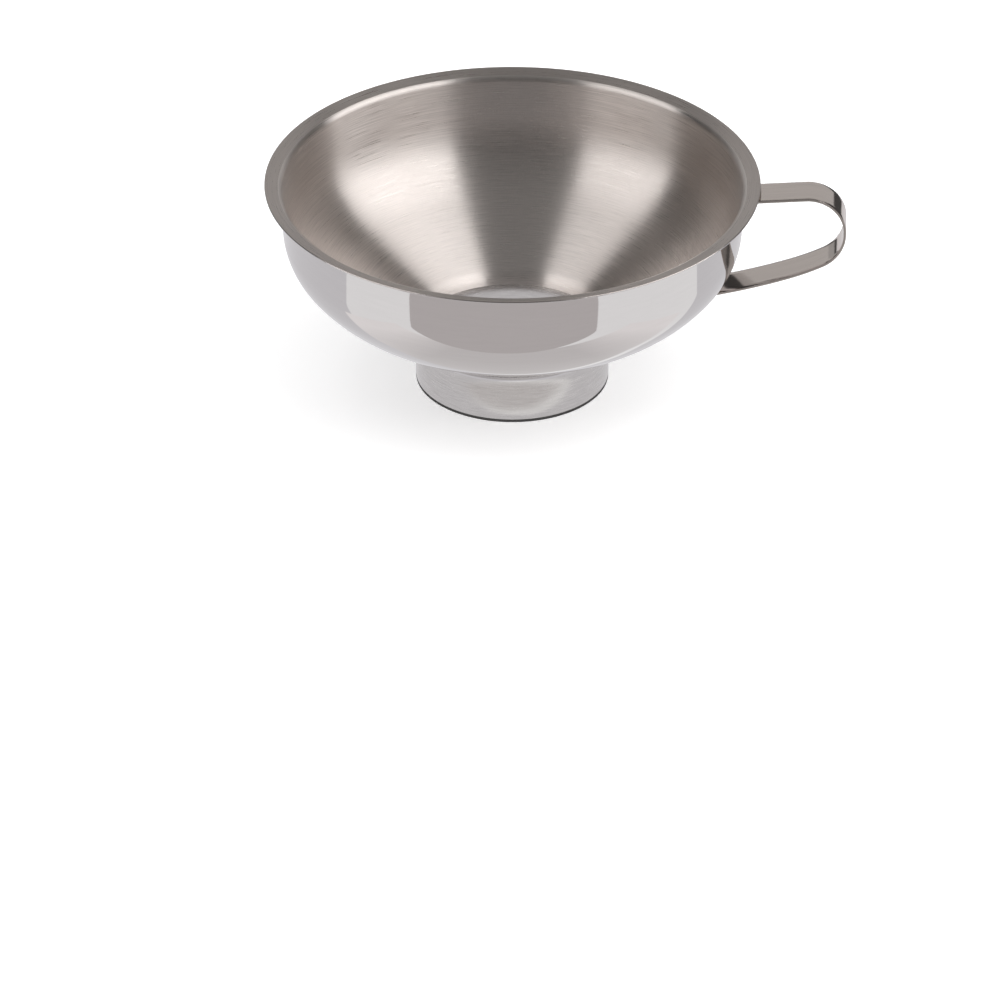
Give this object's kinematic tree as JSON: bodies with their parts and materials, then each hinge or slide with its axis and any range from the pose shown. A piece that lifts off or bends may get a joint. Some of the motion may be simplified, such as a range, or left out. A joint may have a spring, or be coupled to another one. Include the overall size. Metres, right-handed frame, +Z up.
{
  "type": "canning funnel",
  "caption": "Wide-mouth canning funnel in stainless sheet: deep bowl with a flared lip, short straight spout that seats in a jar's mouth, and a bent strap handle at the side.",
  "frame": {"origin": "centre of the spout's bottom edge, on the funnel's axis", "axes": "+Z up along the funnel's axis towards the lip; +X towards the handle; +Y to the side"},
  "size_m": [0.1762, 0.15, 0.068],
  "materials": {
    "bowl_steel": "mirror polished outside, fine brushed rings inside and on the lip and spout",
    "strap_steel": "satin, brushed along the strap",
    "weld_steel": "dull pressed spot"
  },
  "bodies": {
    "root": {"funnel_bowl": "bowl_steel", "handle_strap": "strap_steel", "spot_welds": "weld_steel"}
  },
  "joints": []
}
